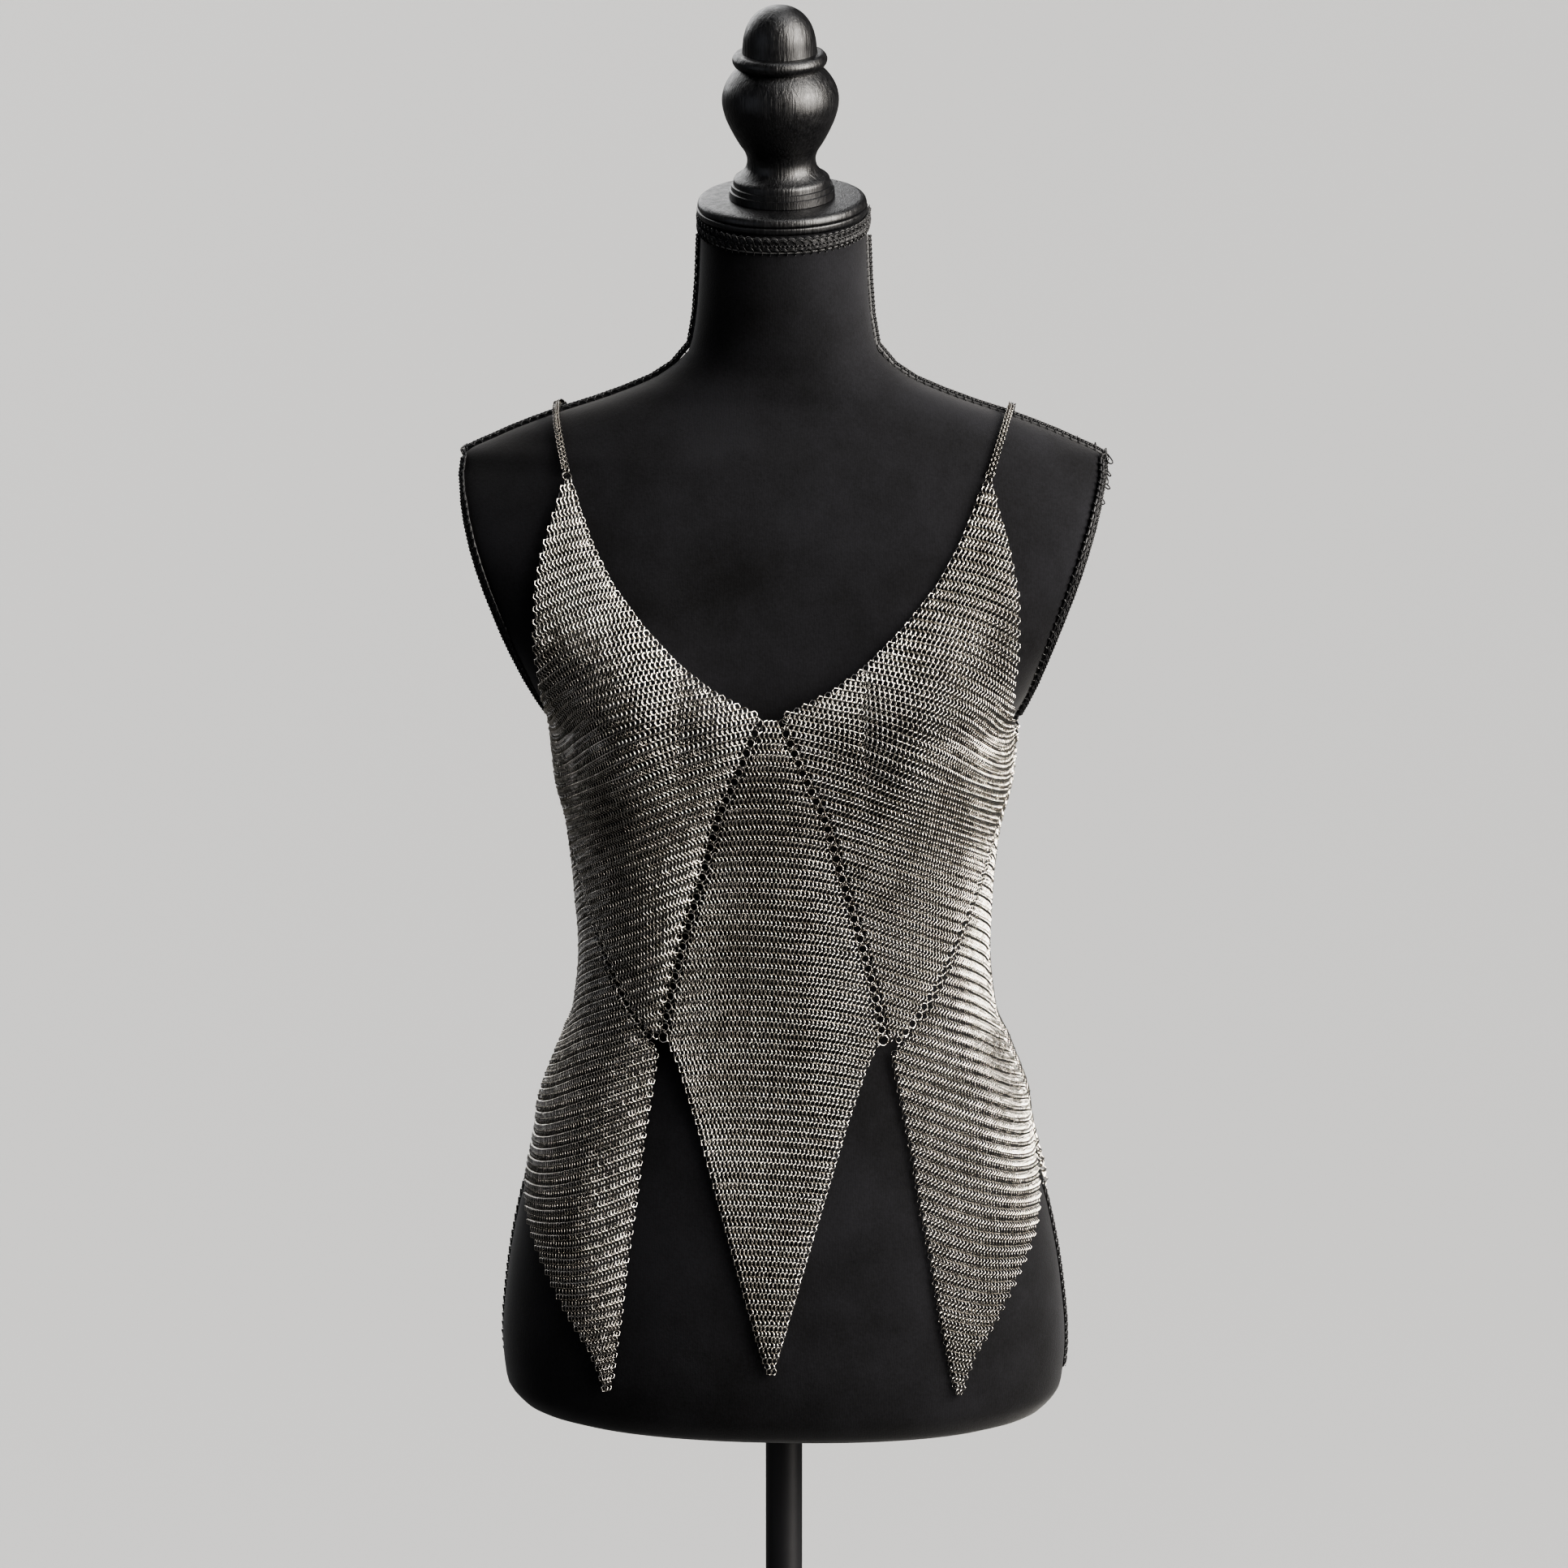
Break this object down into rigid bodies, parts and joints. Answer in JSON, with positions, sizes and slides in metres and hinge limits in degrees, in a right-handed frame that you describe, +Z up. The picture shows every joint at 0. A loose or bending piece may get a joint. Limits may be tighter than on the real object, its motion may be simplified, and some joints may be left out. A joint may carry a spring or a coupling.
{
  "type": "chainmail top on a dress form",
  "caption": "Sleeveless mail top with pointed panels, open link seams and chain straps, hung on a limbless padded dress form with a turned finial, a pole and a round base.",
  "frame": {"origin": "centre of the base on the floor, under the pole", "axes": "+Z up along the pole, -Y the way the chest faces, +X the wearer's left"},
  "size_m": [0.3754, 0.32, 1.3775],
  "materials": {
    "steel_mail": "small bright steel rings, European four in one weave",
    "jersey": "black knitted jersey stretched over padding, matt",
    "gimp_braid": "black plaited braid, soft sheen",
    "lacquered_wood": "turned wood under black lacquer, semi-gloss, grain showing",
    "painted_steel": "black paint, satin"
  },
  "bodies": {
    "root": {"dress_form_torso": "jersey", "neck_cap": "lacquered_wood", "finial": "lacquered_wood", "stand_pole": "painted_steel", "stand_base": "painted_steel", "neck_braid": "gimp_braid", "shoulder_braid_left": "gimp_braid", "side_braid_left": "gimp_braid", "arm_braid_left": "gimp_braid", "shoulder_braid_right": "gimp_braid", "side_braid_right": "gimp_braid", "arm_braid_right": "gimp_braid", "mail_front_centre": "steel_mail", "mail_back_centre": "steel_mail", "mail_cup_left": "steel_mail", "mail_side_front_left": "steel_mail", "mail_side_back_left": "steel_mail", "mail_back_upper_left": "steel_mail", "link_row_front_left": "steel_mail", "link_row_cup_left": "steel_mail", "link_row_side_left": "steel_mail", "link_row_back_left": "steel_mail", "link_row_back_side_left": "steel_mail", "strap_left": "steel_mail", "mail_cup_right": "steel_mail", "mail_side_front_right": "steel_mail", "mail_side_back_right": "steel_mail", "mail_back_upper_right": "steel_mail", "link_row_front_right": "steel_mail", "link_row_cup_right": "steel_mail", "link_row_side_right": "steel_mail", "link_row_back_right": "steel_mail", "link_row_back_side_right": "steel_mail", "strap_right": "steel_mail"}
  },
  "joints": []
}
